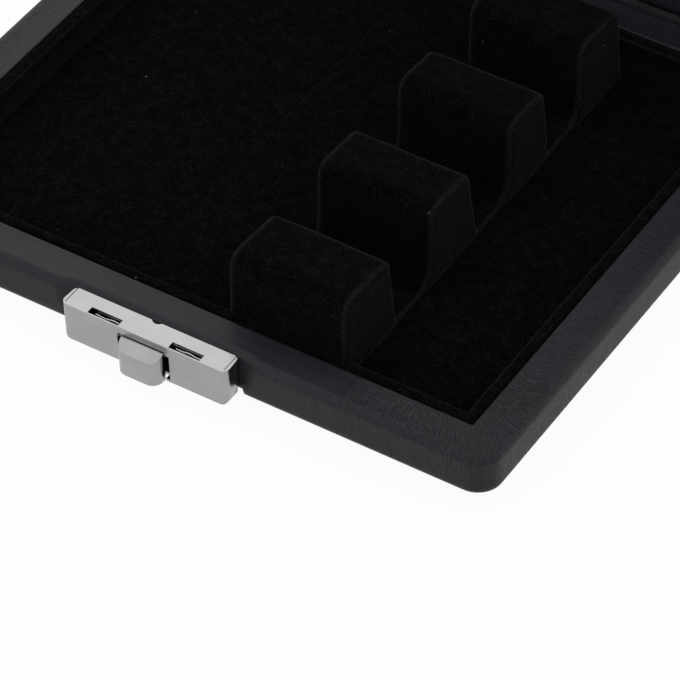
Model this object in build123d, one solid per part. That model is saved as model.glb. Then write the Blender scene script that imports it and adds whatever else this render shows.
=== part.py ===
from build123d import *
import math
import os

# Bassoon reed case. All sizes are in millimetres. The origin is the middle of the underside,
# +X runs to the right along the front edge, +Y runs back to the hinge and +Z is up.
# The case stands open: its lid is built closed and then swung up about the hinge.

# Tray
inner_width = 108.0
inner_depth = 95.0
rim_width = 6.9
base_height = 8.0
corner_radius = 4.5
leather = 0.5
underside_sheet = 0.3
underside_margin = 3.0
tray_board = 1.0
rim_top_round = 1.4
rim_lip_round = 0.25
underside_round = 1.5

# Velvet linings
floor_pad = 0.6
lining = 2.4
lining_round = 0.7
pad_round = 0.25
seam_x = -12.5
seam_gap = 0.15

# Reed block, a row of humps with a trough between each two for a reed's throat
block_left = 8.25
block_width = 21.55
velvet = 0.7
velvet_edge_round = 0.6
hump_rise = 16.6
hump_fall = 0.9
hump_front_round = 2.6
hump_back_round = 1.7
trough_front_round = 3.6
trough_back_round = 0.9
first_hump_gap = 0.05
hump_tops = [13.3, 11.6, 11.0, 12.9]
hump_backs = [2.2, 3.2, 2.1, 2.2]
last_hump_gap = 2.55
trough_trims = [0.3, -0.1, -0.2]

# Lid
lid_gap = 0.15
lid_height = 14.0
lid_board = 1.0
lid_top_round = 2.0
open_angle = 105.0

# Push latch on the front
latch_x = 0.55
latch_length = 30.4
latch_flare = 0.25
latch_bottom = 0.2
latch_drop = 0.3
latch_depth = 4.2
latch_slant = 0.4
latch_wall = 0.5
latch_top_round = 0.8
latch_low_round = 0.4
latch_corner_round = 1.0
latch_back_corner_round = 0.8
latch_low_corner_round = 1.5
recess_depth = 0.85
recess_gap = 0.3
recess_run = 3.2
recess_outer_round = 3.0
recess_inner_round = 1.0
hook_slot_offset = 7.55
hook_slot_length = 5.6
hook_slot_width = 1.15
thumb_notch_radius = 1.1
thumb_notch_depth = 0.5
back_plate = 0.6
rivet_offset = 9.0
rivet_radius = 0.6
rivet_head_radius = 1.1
rivet_head = 0.35
rivet_grip = 3.2
rivet_head_round = 0.25
rivet_height = 3.0

# Push button, its bolt and its spring
button_width = 7.8
button_gap = 0.9
button_headroom = 0.25
button_proud = 2.3
button_drop = 1.2
button_round = 0.9
button_side_round = 1.3
button_shoulder = 0.1
button_shoulder_round = 0.3
button_low_round = 0.4
button_front_slant = 0.15
button_travel = 1.0
bolt_length = 23.0
bolt_height = 1.0
bolt_room = 0.2
bolt_boss_overlap = 0.2
spring_thickness = 0.15
spring_span = 17.0

# Catch on the lid, with two hooks that drop into the latch's slots
catch_plate_thickness = 0.7
catch_rise = 5.6
catch_flange = 0.8
catch_gap = 0.2
catch_round = 0.35
catch_inner_round = 0.6
catch_lip = 0.3
catch_rivet_rise = 3.5
hook_width = 5.0
hook_thickness = 0.45
hook_nose = 0.5
hook_nose_height = 0.55
hook_gap = 0.1

# Hinge, one broad butt hinge with its barrel behind the rims
hinge_length = 30.0
hinge_offset = 0.2
hinge_knuckles = 5
knuckle_gap = 0.15
barrel_radius = 1.25
barrel_room = 0.25
pin_radius = 0.55
pin_clearance = 0.05
leaf_thickness = 0.6
leaf_reach = 6.3
screw_offset = 10.5
screw_setback = 2.4
screw_radius = 0.6
screw_head_radius = 1.2
screw_length = 3.4
screw_slot_width = 0.35
screw_slot_depth = 0.3

# Leather spine that covers the hinge behind
spine = 0.4
spine_margin = 6.0
spine_fold_room = 0.15
spine_base_reach = 5.6
spine_lid_reach = 7.5

# Clearance of pieces that are fitted together, how far a cut runs past the face it starts from,
# and how near an edge must lie to count as being on a face
fit = 0.05
past = 1.0
near = 0.01

# Worked out from the sizes above
outer_width = inner_width + 2 * rim_width
outer_depth = inner_depth + 2 * rim_width
front_y = -outer_depth / 2
rear_y = outer_depth / 2
board_top = underside_sheet + leather + tray_board
floor_z = board_top + floor_pad
lid_z = base_height + lid_gap
lid_top = lid_z + lid_height
ceiling_z = lid_top - leather - lid_board
recess_y = front_y + recess_depth
latch_front = recess_y - latch_depth
latch_top = base_height - latch_drop
latch_height = latch_top - latch_bottom
latch_inner_front = latch_front + latch_wall
latch_roof = latch_top - latch_wall
slot_back = latch_inner_front + hook_slot_width
hook_front = latch_inner_front + hook_gap
bolt_front = hook_front + hook_thickness + hook_gap
plate_front = recess_y - back_plate
bolt_back = plate_front - button_travel - bolt_room
bolt_z = latch_roof - 2 * bolt_height
hinge_y = rear_y + hinge_offset
hinge_z = base_height + lid_gap / 2
hinge_axis = Axis((0, hinge_y, hinge_z), (1, 0, 0))
leaf_front = hinge_y - leaf_reach
screw_y = leaf_front + screw_setback
catch_rivet_z = lid_z + catch_rivet_rise
button_top = bolt_z + bolt_height - fit
button_height = button_top - latch_bottom - fit
notch_half = button_width / 2 + button_gap


def block(x0, x1, y0, y1, z0, z1):
    """A box between two corners."""
    return Pos((x0 + x1) / 2, (y0 + y1) / 2, (z0 + z1) / 2) * Box(x1 - x0, y1 - y0, z1 - z0)


def across(points, radii, x0, x1):
    """A side profile of (y, z) corners with rounded corners, carried from x0 to x1."""
    line = FilletPolyline(*[(0, y, z) for y, z in points], radius=radii, close=True)
    face = make_face(line)
    solid = extrude(face, amount=x1 - x0, dir=(1, 0, 0))
    return Pos(x0, 0, 0) * solid


def rod(radius, start, end):
    """A round bar between two points on a line along one axis."""
    span = Vector(*end) - Vector(*start)
    plane = Plane(origin=start, z_dir=span.normalized())
    return extrude(plane * Circle(radius), amount=span.length)


def export(name, piece):
    """Writes one sub-part."""
    export_step(piece, f"parts/{name}.step")


def swing_open(piece):
    """Turns a piece of the lid from closed to standing open."""
    return piece.rotate(hinge_axis, -open_angle)


# Outline of tray and lid in plan, with the shallow recess that the latch sits in
def case_outline(inset):
    width = outer_width - 2 * inset
    depth = outer_depth - 2 * inset
    plan = RectangleRounded(width, depth, corner_radius - inset)
    deep = recess_y + inset
    half = latch_length / 2 + recess_gap + inset
    mouth = front_y + inset
    notch = Polygon(
        (latch_x - half - recess_run, mouth),
        (latch_x - half, deep),
        (latch_x + half, deep),
        (latch_x + half + recess_run, mouth),
        align=None,
    )
    plan = plan - notch
    inner = plan.vertices().filter_by(lambda v: abs(v.Y - deep) < near)
    plan = fillet(inner, recess_inner_round + inset)
    outer = plan.vertices().filter_by(
        lambda v: abs(v.Y - mouth) < near and abs(v.X - latch_x) < half + recess_run + past
    )
    return fillet(outer, recess_outer_round - inset)


def wrapped_body(z0, z1, inset, lower_round, upper_round):
    """The rounded outer form of tray or lid, drawn in by an inset."""
    solid = Pos(0, 0, z0 + inset) * extrude(case_outline(inset), amount=z1 - z0 - 2 * inset)
    solid = fillet(solid.faces().sort_by(Axis.Z)[0].edges(), lower_round - inset)
    return fillet(solid.faces().sort_by(Axis.Z)[-1].edges(), upper_round - inset)


def well(z0, z1):
    """The open space between the rims."""
    return block(-inner_width / 2, inner_width / 2, -inner_depth / 2, inner_depth / 2, z0, z1)


# Hinge pockets in the rims
def hinge_pocket(leaf_z0, leaf_z1):
    half = hinge_length / 2 + knuckle_gap
    room = barrel_radius + barrel_room
    leaf = block(-half, half, leaf_front - fit, rear_y + past, leaf_z0, leaf_z1)
    barrel = rod(room, (-half, hinge_y, hinge_z), (half, hinge_y, hinge_z))
    behind = block(-half, half, hinge_y, rear_y + barrel_radius + past, hinge_z - room, hinge_z + room)
    return leaf + barrel + behind


def screw_places():
    return [-screw_offset, 0, screw_offset]


def screw_holes(start_z, end_z):
    return [rod(screw_radius, (x, screw_y, start_z), (x, screw_y, end_z)) for x in screw_places()]


def rivet_places():
    return [latch_x - rivet_offset, latch_x + rivet_offset]


def rivet_holes(z):
    start = recess_y - past
    end = recess_y + rivet_grip
    return [rod(rivet_radius, (x, start, z), (x, end, z)) for x in rivet_places()]


def make_tray():
    low = underside_sheet
    outer = wrapped_body(low, base_height, 0, underside_round, rim_top_round)
    core = wrapped_body(low, base_height, leather, underside_round, rim_top_round)
    skin = outer - core - well(base_height - 2 * leather, base_height + past)
    skin -= well(low - past, low + 2 * leather)
    core -= well(board_top, base_height + past)
    pocket = hinge_pocket(base_height - leaf_thickness, base_height + past)
    screw_end = base_height - screw_length
    for cut in [pocket, *screw_holes(base_height + past, screw_end), *rivet_holes(rivet_height)]:
        skin -= cut
        core -= cut
    lip = skin.edges().filter_by(
        lambda e: abs(e.center().Z - base_height) < near
        and (
            abs(abs(e.center().X) - inner_width / 2) < near
            or abs(abs(e.center().Y) - inner_depth / 2) < near
        )
    )
    skin = fillet(lip, rim_lip_round)
    export("base_core", core)
    export("base_leather", skin)
    sheet_width = outer_width - 2 * underside_margin
    sheet_depth = outer_depth - 2 * underside_margin
    sheet = Rectangle(sheet_width, sheet_depth)
    flaps = Rectangle(inner_width, inner_depth)
    cover = extrude(sheet, amount=underside_sheet)
    fill = Pos(0, 0, underside_sheet) * extrude(flaps, amount=leather)
    export("base_bottom_cover", cover + fill)


def velvet_slab(x0, x1, y0, y1, z0, z1, radius, top=True):
    """A velvet-covered card, with the edges of its showing face softened."""
    slab = block(x0, x1, y0, y1, z0, z1)
    face = slab.faces().sort_by(Axis.Z)[-1 if top else 0]
    return fillet(face.edges(), radius)


def make_linings():
    side = inner_width / 2
    end = inner_depth / 2
    seam = seam_gap / 2
    pads = {
        "floor_pad_left": (-side + lining, seam_x - seam),
        "floor_pad_right": (seam_x + seam, side - lining),
    }
    for name, (x0, x1) in pads.items():
        export(name, velvet_slab(x0, x1, -end + lining, end - lining, board_top, floor_z, pad_round))
    walls = {
        "liner_front": (-side, side, -end, -end + lining),
        "liner_rear": (-side, side, end - lining, end),
        "liner_left": (-side, -side + lining, -end + lining, end - lining),
        "liner_right": (side - lining, side, -end + lining, end - lining),
    }
    for name, (x0, x1, y0, y1) in walls.items():
        export(name, velvet_slab(x0, x1, y0, y1, board_top, base_height, lining_round))
    lid_walls = {name.replace("liner", "lid_liner"): spot for name, spot in walls.items()}
    for name, (x0, x1, y0, y1) in lid_walls.items():
        wall = velvet_slab(x0, x1, y0, y1, lid_z, ceiling_z, lining_round, top=False)
        export(name, swing_open(wall))
    ceiling = velvet_slab(
        -side + lining, side - lining, -end + lining, end - lining,
        ceiling_z - floor_pad, ceiling_z, pad_round, top=False,
    )
    export("lid_pad", swing_open(ceiling))


def hump_spans():
    """Front, back of the top and foot of each hump, from front to back; the troughs share what is left."""
    row = inner_depth - 2 * lining - first_hump_gap - last_hump_gap
    trough = (row - sum(hump_tops) - sum(hump_backs)) / len(trough_trims)
    front = -inner_depth / 2 + lining + first_hump_gap
    spans = []
    for place, top in enumerate(hump_tops):
        back = front + top
        foot = back + hump_backs[place]
        spans.append((front, back, foot))
        if place < len(trough_trims):
            front = foot + trough + trough_trims[place]
    return spans


def make_reed_block():
    spans = hump_spans()
    crest = floor_z + hump_rise
    valley = floor_z + velvet
    corners = [(spans[0][0], floor_z)]
    radii = [0]
    for place, (front, back, foot) in enumerate(spans):
        last = place == len(spans) - 1
        if place > 0:
            corners.append((front, valley))
            radii.append(trough_front_round)
        corners += [(front, crest), (back, crest - hump_fall), (foot, floor_z if last else valley)]
        radii += [hump_front_round, hump_back_round, 0 if last else trough_back_round]
    cover = across(corners, radii, block_left, block_left + block_width)
    ends = [
        edge
        for face in (cover.faces().sort_by(Axis.X)[0], cover.faces().sort_by(Axis.X)[-1])
        for edge in face.edges()
        if edge.center().Z > floor_z + near
    ]
    cover = fillet(ends, velvet_edge_round)
    foams = []
    for front, back, foot in spans:
        drop = crest - hump_fall - valley
        slope = velvet * math.hypot(drop, foot - back) / drop
        points = [
            (front + velvet, floor_z),
            (front + velvet, crest - velvet),
            (back - slope, crest - hump_fall - velvet),
            (foot - slope, valley),
            (foot - slope, floor_z),
        ]
        rounds = [0, hump_front_round - velvet, hump_back_round - velvet, 0, 0]
        foam = across(points, rounds, block_left + velvet, block_left + block_width - velvet)
        foams.append(foam)
        cover -= foam
    export("reed_block_velvet", cover)
    export("reed_block_foam", Compound(foams))


def make_latch():
    half = latch_length / 2
    profile = [
        (recess_y, latch_bottom),
        (recess_y, latch_top),
        (latch_front, latch_top),
        (latch_front + latch_slant, latch_bottom),
    ]
    wide = half + latch_flare
    body = across(profile, [0, 0, latch_top_round, latch_low_round], latch_x - wide, latch_x + wide)
    plan = Polygon(
        (latch_x - wide, latch_front), (latch_x + wide, latch_front),
        (latch_x + half, recess_y), (latch_x - half, recess_y), align=None,
    )
    plan = fillet(plan.vertices().group_by(Axis.Y)[0], latch_corner_round)
    plan = fillet(plan.vertices().group_by(Axis.Y)[-1], latch_back_corner_round)
    body &= extrude(plan, amount=latch_top + past)
    ahead = Plane(origin=(latch_x, recess_y + past, latch_top), x_dir=(1, 0, 0), z_dir=(0, -1, 0))
    front_view = ahead * Rectangle(2 * wide, 2 * latch_height)
    front_view = fillet(front_view.vertices().group_by(Axis.Z)[0], latch_low_corner_round)
    body &= extrude(front_view, amount=latch_depth + 2 * past)
    body -= block(
        latch_x - half + latch_wall, latch_x + half - latch_wall,
        latch_inner_front, recess_y + past, latch_bottom + latch_wall, latch_roof,
    )
    for side in (-1, 1):
        middle = latch_x + side * hook_slot_offset
        body -= block(
            middle - hook_slot_length / 2, middle + hook_slot_length / 2,
            latch_inner_front, slot_back, latch_roof - past, latch_top + past,
        )
    body -= block(
        latch_x - notch_half, latch_x + notch_half,
        latch_front - past, latch_inner_front + button_travel + 3 * fit,
        latch_bottom - past, button_top + button_headroom,
    )
    thumb_y = recess_y + thumb_notch_radius - thumb_notch_depth
    thumb_low = (latch_x, thumb_y, latch_roof - past)
    body -= rod(thumb_notch_radius, thumb_low, (latch_x, thumb_y, latch_top + past))
    export("latch_body", body)

    plate = block(
        latch_x - half + latch_wall + fit, latch_x + half - latch_wall - fit,
        plate_front, recess_y, latch_bottom + latch_wall + fit, latch_roof - fit,
    )
    rivets = []
    for x, hole in zip(rivet_places(), rivet_holes(rivet_height)):
        plate -= hole
        seat = (x, plate_front, rivet_height)
        head = rod(rivet_head_radius, (x, plate_front - rivet_head, rivet_height), seat)
        shank = rod(rivet_radius, seat, (x, recess_y + rivet_grip, rivet_height))
        rivets.append(head + shank)
    export("latch_back_plate", plate)
    export("latch_rivets", Compound(rivets))

    boss_half = notch_half + bolt_boss_overlap
    boss_front = latch_inner_front + fit
    bolt_top = bolt_z + bolt_height
    wing = bolt_length / 2
    wings = block(latch_x - wing, latch_x + wing, bolt_front, bolt_back, bolt_z, bolt_top)
    boss = block(latch_x - boss_half, latch_x + boss_half, boss_front, bolt_back, bolt_z, bolt_top)
    export("latch_bolt", wings + boss)

    nose = latch_front - button_proud
    low = latch_bottom + fit
    points = [
        (boss_front, low),
        (boss_front, button_top),
        (latch_front - button_shoulder, button_top),
        (nose, button_top - button_drop),
        (nose + button_front_slant, low),
    ]
    rounds = [0, 0, button_shoulder_round, button_round, button_low_round]
    button = across(points, rounds, latch_x - button_width / 2, latch_x + button_width / 2)
    sides = button.edges().filter_by(
        lambda e: abs(abs(e.center().X - latch_x) - button_width / 2) < near
        and e.center().Y < nose + button_front_slant + near
        and e.length > button_height / 3
    )
    button = fillet(sides, button_side_round)
    export("latch_button", button)

    export("latch_spring", bow_spring())


def bow_spring():
    """A flat strip bowed between the back plate and the bolt."""
    start = plate_front - fit
    peak = bolt_back + fit + spring_thickness
    rise = start - peak
    half = spring_span / 2
    radius = (half * half + rise * rise) / (2 * rise)
    outer = ThreePointArc((latch_x - half, start), (latch_x, peak), (latch_x + half, start))
    inner_radius = radius - spring_thickness
    angle = math.asin(half / radius)
    dip = peak + radius
    tip_x = inner_radius * math.sin(angle)
    tip_y = dip - inner_radius * math.cos(angle)
    inner = ThreePointArc((latch_x - tip_x, tip_y), (latch_x, dip - inner_radius), (latch_x + tip_x, tip_y))
    left = Line(outer @ 0, inner @ 0)
    right = Line(outer @ 1, inner @ 1)
    strip = make_face([outer, inner, left, right])
    return Pos(0, -spring_thickness, bolt_z) * extrude(strip, amount=bolt_height)


def make_catch():
    half = latch_length / 2
    back = recess_y - fit
    face_y = back - catch_plate_thickness
    front = hook_front - catch_lip
    flange_z = latch_top + catch_gap
    points = [
        (back, lid_z + catch_rise),
        (face_y, lid_z + catch_rise),
        (face_y, flange_z + catch_flange),
        (front, flange_z + catch_flange),
        (front, flange_z),
        (back, flange_z),
    ]
    rounds = [0, catch_round, catch_inner_round, catch_round, 0, 0]
    plate = across(points, rounds, latch_x - half, latch_x + half)
    nose_low = bolt_z - hook_gap - hook_nose_height
    for side in (-1, 1):
        middle = latch_x + side * hook_slot_offset
        x0 = middle - hook_width / 2
        x1 = middle + hook_width / 2
        plate += block(x0, x1, hook_front, hook_front + hook_thickness, nose_low, flange_z + fit)
        nose_back = hook_front + hook_thickness + hook_nose
        plate += block(x0, x1, hook_front, nose_back, nose_low, nose_low + hook_nose_height)
    rivets = []
    for x in rivet_places():
        head = rod(rivet_head_radius, (x, face_y - rivet_head, catch_rivet_z), (x, face_y, catch_rivet_z))
        head = fillet(head.edges().sort_by(Axis.Y)[0], rivet_head_round)
        shank = rod(rivet_radius, (x, face_y, catch_rivet_z), (x, recess_y + rivet_grip, catch_rivet_z))
        plate -= shank
        rivets.append(head + shank)
    export("catch_plate", swing_open(plate))
    export("catch_rivets", swing_open(Compound(rivets)))


def make_lid():
    outer = wrapped_body(lid_z, lid_top, 0, rim_top_round, lid_top_round)
    core = wrapped_body(lid_z, lid_top, leather, rim_top_round, lid_top_round)
    skin = outer - core - well(lid_z - past, lid_z + 2 * leather)
    core -= well(lid_z - past, ceiling_z)
    pocket = hinge_pocket(lid_z - past, lid_z + leaf_thickness)
    for cut in [pocket, *screw_holes(lid_z - past, lid_z + screw_length), *rivet_holes(catch_rivet_z)]:
        skin -= cut
        core -= cut
    export("lid_core", swing_open(core))
    export("lid_leather", swing_open(skin))


def knuckle_spans(first):
    """Start and end along X of every second knuckle."""
    pitch = hinge_length / hinge_knuckles
    start = -hinge_length / 2
    return [
        (start + place * pitch + knuckle_gap / 2, start + (place + 1) * pitch - knuckle_gap / 2)
        for place in range(first, hinge_knuckles, 2)
    ]


def make_leaf(first, other, z0, z1):
    leaf = block(-hinge_length / 2, hinge_length / 2, leaf_front, hinge_y, z0, z1)
    clear = barrel_radius + barrel_room
    for x0, x1 in knuckle_spans(other):
        leaf -= block(
            x0 - knuckle_gap, x1 + knuckle_gap, hinge_y - clear, hinge_y + past, z0 - past, z1 + past,
        )
    for x0, x1 in knuckle_spans(first):
        leaf += rod(barrel_radius, (x0, hinge_y, hinge_z), (x1, hinge_y, hinge_z))
    bore = rod(
        pin_radius + pin_clearance, (-hinge_length, hinge_y, hinge_z), (hinge_length, hinge_y, hinge_z),
    )
    return leaf - bore


def countersunk(x, face_z, way):
    """A wood screw whose flat head lies flush with the leaf; way is -1 down into the tray."""
    rise = screw_head_radius - screw_radius
    cone = Solid.make_cone(
        screw_head_radius, screw_radius, rise, Plane(origin=(x, screw_y, face_z), z_dir=(0, 0, way)),
    )
    return cone, rod(screw_radius, (x, screw_y, face_z), (x, screw_y, face_z + way * screw_length))


def make_hinge():
    base_leaf = make_leaf(0, 1, base_height - leaf_thickness, base_height)
    lid_leaf = make_leaf(1, 0, lid_z, lid_z + leaf_thickness)
    leaves = {"base": (base_leaf, base_height, -1), "lid": (lid_leaf, lid_z, 1)}
    for side, (leaf, face_z, way) in leaves.items():
        screws = []
        for x in screw_places():
            cone, shank = countersunk(x, face_z, way)
            leaf = leaf - cone - shank
            slot = block(
                x - screw_head_radius, x + screw_head_radius,
                screw_y - screw_slot_width / 2, screw_y + screw_slot_width / 2,
                face_z - screw_slot_depth, face_z + screw_slot_depth,
            )
            screws.append(cone + shank - slot)
        group = Compound(screws)
        if side == "lid":
            leaf = swing_open(leaf)
            group = swing_open(group)
        export(f"hinge_leaf_{side}", leaf)
        export(f"hinge_screws_{side}", group)
    reach = hinge_length / 2 - fit
    pin = rod(pin_radius, (-reach, hinge_y, hinge_z), (reach, hinge_y, hinge_z))
    export("hinge_pin", pin)


def make_spine():
    """The leather strip behind the hinge, folded in as it lies with the lid open."""
    lean = math.radians(open_angle)
    along = Vector(0, math.sin(lean), math.cos(lean))
    down = Vector(0, 0, -1)
    middle = rear_y + fit + spine / 2 - hinge_y
    # the strip's middle lines down the tray and along the open lid cross at the fold
    fold = Vector(0, hinge_y + middle, hinge_z - middle * math.tan(lean / 2))
    half_turn = (math.pi - lean) / 2
    into_fold = (along + down).normalized()
    apart = (fold - Vector(0, hinge_y, hinge_z)).length
    room = barrel_radius + spine / 2 + spine_fold_room + apart
    fold_radius = room / (1 / math.sin(half_turn) - 1)
    low = fold + down * spine_base_reach
    far = fold + along * spine_lid_reach
    thick = spine / 2
    off_lid = Vector(0, math.cos(lean), -math.sin(lean)) * thick
    off_tray = Vector(0, thick, 0)
    corner = into_fold * (thick / math.sin(half_turn))
    corners = [low - off_tray, fold - corner, far - off_lid, far + off_lid, fold + corner, low + off_tray]
    radii = [0, fold_radius + thick, 0, 0, fold_radius - thick, 0]
    reach = inner_width / 2 - spine_margin
    strip = across([(c.Y, c.Z) for c in corners], radii, -reach, reach)
    export("hinge_cover", strip)


os.makedirs("parts", exist_ok=True)
make_tray()
make_linings()
make_reed_block()
make_latch()
make_catch()
make_lid()
make_hinge()
make_spine()
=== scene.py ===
import math

import bmesh
import bpy
from mathutils import Matrix, Vector, noise


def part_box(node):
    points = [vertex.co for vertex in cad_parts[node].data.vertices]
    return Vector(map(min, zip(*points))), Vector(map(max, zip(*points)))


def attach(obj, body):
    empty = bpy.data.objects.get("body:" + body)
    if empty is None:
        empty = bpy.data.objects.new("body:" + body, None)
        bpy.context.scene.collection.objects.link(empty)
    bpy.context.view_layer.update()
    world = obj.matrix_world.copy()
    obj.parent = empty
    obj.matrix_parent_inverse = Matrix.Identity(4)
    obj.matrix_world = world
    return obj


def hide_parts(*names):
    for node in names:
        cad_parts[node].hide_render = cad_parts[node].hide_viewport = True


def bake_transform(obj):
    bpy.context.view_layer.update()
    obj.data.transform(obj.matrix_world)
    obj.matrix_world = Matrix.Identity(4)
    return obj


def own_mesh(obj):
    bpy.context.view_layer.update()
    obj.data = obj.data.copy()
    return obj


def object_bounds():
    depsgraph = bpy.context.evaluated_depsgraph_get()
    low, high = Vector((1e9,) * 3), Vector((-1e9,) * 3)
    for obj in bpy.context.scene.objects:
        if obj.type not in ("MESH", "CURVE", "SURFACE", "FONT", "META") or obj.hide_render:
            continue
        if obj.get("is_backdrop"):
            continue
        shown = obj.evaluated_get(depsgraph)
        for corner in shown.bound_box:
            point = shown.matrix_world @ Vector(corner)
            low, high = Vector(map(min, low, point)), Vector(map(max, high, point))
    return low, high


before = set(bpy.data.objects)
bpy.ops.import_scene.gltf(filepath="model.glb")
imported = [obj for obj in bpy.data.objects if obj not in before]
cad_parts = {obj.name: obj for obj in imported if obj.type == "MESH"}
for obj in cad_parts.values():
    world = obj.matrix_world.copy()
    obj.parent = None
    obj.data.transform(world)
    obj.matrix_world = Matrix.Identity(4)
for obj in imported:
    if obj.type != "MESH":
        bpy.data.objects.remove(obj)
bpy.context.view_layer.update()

mm = 0.001
touching = 0.001 * mm
near = 0.01 * mm
past = 1.0 * mm


# Boards of tray and lid. Both are shallow wooden trays with hollow rims milled for the hinge and the
# latch. They are almost wholly wrapped, so only their raw edges show, in the pockets under the hinge.
def new_material(name):
    """A material with its node tree and its surface shader."""
    material = bpy.data.materials.new(name)
    material.use_nodes = True
    return material, material.node_tree, material.node_tree.nodes["Principled BSDF"]


def set_on(node, values):
    """Sets inputs of a node by their names."""
    for key, value in values.items():
        node.inputs[key].default_value = value


def mapped(tree, vector, stretch):
    """The same coordinates, stretched."""
    mapping = tree.nodes.new("ShaderNodeMapping")
    set_on(mapping, {"Scale": stretch})
    tree.links.new(vector, mapping.inputs["Vector"])
    return mapping.outputs["Vector"]


def object_pattern(tree, stretch=(1000.0, 1000.0, 1000.0)):
    """Coordinates of the piece itself, in millimetres or in units of one over the stretch in metres."""
    return mapped(tree, tree.nodes.new("ShaderNodeTexCoord").outputs["Object"], stretch)


def noise_node(tree, vector, scale, detail, roughness):
    """A soft noise and its value."""
    node = tree.nodes.new("ShaderNodeTexNoise")
    set_on(node, {"Scale": scale, "Detail": detail, "Roughness": roughness})
    tree.links.new(vector, node.inputs["Vector"])
    return node.outputs["Fac"]


def graded(tree, value, stops):
    """A colour ramp through (place, colour) stops."""
    ramp = tree.nodes.new("ShaderNodeValToRGB")
    elements = ramp.color_ramp.elements
    while len(elements) < len(stops):
        elements.new(0.5)
    for element, (place, colour) in zip(elements, stops):
        element.position = place
        element.color = (*colour, 1.0)
    tree.links.new(value, ramp.inputs["Fac"])
    return ramp.outputs["Color"]


def ranged(tree, value, from_low, from_high, to_low, to_high, smooth=False):
    """A value carried from one range to another."""
    node = tree.nodes.new("ShaderNodeMapRange")
    if smooth:
        node.interpolation_type = "SMOOTHSTEP"
    for place, number in ((1, from_low), (2, from_high), (3, to_low), (4, to_high)):
        node.inputs[place].default_value = number
    tree.links.new(value, node.inputs[0])
    return node.outputs[0]


def bumped(tree, height, depth, below=None):
    """A relief of that depth in metres, on top of another."""
    node = tree.nodes.new("ShaderNodeBump")
    set_on(node, {"Strength": 1.0, "Distance": depth})
    tree.links.new(height, node.inputs["Height"])
    if below is not None:
        tree.links.new(below, node.inputs["Normal"])
    return node.outputs["Normal"]


def combined(tree, operation, first, second):
    """Two values put together by one sum."""
    node = tree.nodes.new("ShaderNodeMath")
    node.operation = operation
    for socket, value in zip(node.inputs, (first, second)):
        if isinstance(value, (int, float)):
            socket.default_value = value
        else:
            tree.links.new(value, socket)
    return node.outputs[0]


def dressed(names, material):
    """Gives CAD nodes their finish."""
    for name in names:
        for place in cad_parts[name].material_slots:
            place.material = material


fibre_stretch = (60.0, 900.0, 900.0)
wood_dark = (0.20, 0.12, 0.065)
wood_pale = (0.36, 0.24, 0.14)
fibre_depth = 0.05 * mm

board, tree, shader = new_material("bare_board")
fibres = noise_node(tree, object_pattern(tree, fibre_stretch), 1.0, 6.0, 0.6)
tree.links.new(graded(tree, fibres, [(0.3, wood_dark), (0.7, wood_pale)]), shader.inputs["Base Color"])
tree.links.new(bumped(tree, fibres, fibre_depth), shader.inputs["Normal"])
set_on(shader, {"Roughness": 0.85})
dressed(["base_core", "lid_core"], board)


# Underside cloth. A thin black lining cloth glued over the turned-in edges of the leather, cut square,
# and sunk a little in the middle, where no leather lies between it and the board.
def edit_left():
    """Leaves edit mode."""
    if bpy.context.object and bpy.context.object.mode != "OBJECT":
        bpy.ops.object.mode_set(mode="OBJECT")


def only(piece_name, add, **values):
    """Adds a primitive with nothing else selected, named and in edit mode."""
    edit_left()
    bpy.ops.object.select_all(action="DESELECT")
    add(**values)
    piece = bpy.context.object
    piece.name = piece_name
    piece.data.name = piece_name
    bpy.ops.object.transform_apply(location=True, rotation=True, scale=True)
    bpy.ops.object.mode_set(mode="EDIT")
    return piece


def block(piece_name, low, high):
    """A block between two corners, in edit mode."""
    middle = [(a + b) / 2 for a, b in zip(low, high)]
    size = [b - a for a, b in zip(low, high)]
    return only(piece_name, bpy.ops.mesh.primitive_cube_add, size=1.0, location=middle, scale=size)


def pick(piece, kind, test):
    """Selects only the verts, edges or faces whose middle and normal pass the test."""
    modes = {"VERT": (True, False, False), "EDGE": (False, True, False), "FACE": (False, False, True)}
    bpy.context.tool_settings.mesh_select_mode = modes[kind]
    bpy.ops.mesh.select_all(action="DESELECT")
    shape = bmesh.from_edit_mesh(piece.data)
    shape.verts.ensure_lookup_table()
    chosen = {"VERT": shape.verts, "EDGE": shape.edges, "FACE": shape.faces}[kind]
    for item in chosen:
        if kind == "VERT":
            hit = test(item.co)
        elif kind == "EDGE":
            hit = test(item.verts[0].co, item.verts[1].co)
        else:
            hit = test(item.calc_center_median(), item.normal)
        if hit:
            item.select_set(True)
    bmesh.update_edit_mesh(piece.data)


def finished(piece, *modifiers):
    """Leaves edit mode and applies the modifiers, given as (type, values)."""
    edit_left()
    bpy.ops.object.select_all(action="DESELECT")
    piece.select_set(True)
    bpy.context.view_layer.objects.active = piece
    for kind, values in modifiers:
        modifier = piece.modifiers.new(kind.lower(), kind)
        for key, value in values.items():
            setattr(modifier, key, value)
        bpy.ops.object.modifier_apply(modifier=modifier.name)


def smoothed(degrees):
    """Smooth shading over all edges that turn by less than that."""
    bpy.ops.object.shade_smooth_by_angle(angle=math.radians(degrees))


def fitted(piece, material, body, replaced):
    """Finish, slot, body and the nodes that a piece stands for; a piece that bends has no one body."""
    piece.data.materials.clear()
    piece.data.materials.append(material)
    if body:
        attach(piece, body)
    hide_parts(*replaced)


def eased(value):
    """Nought to one, with soft ends."""
    value = min(max(value, 0.0), 1.0)
    return value * value * (3 - 2 * value)


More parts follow.
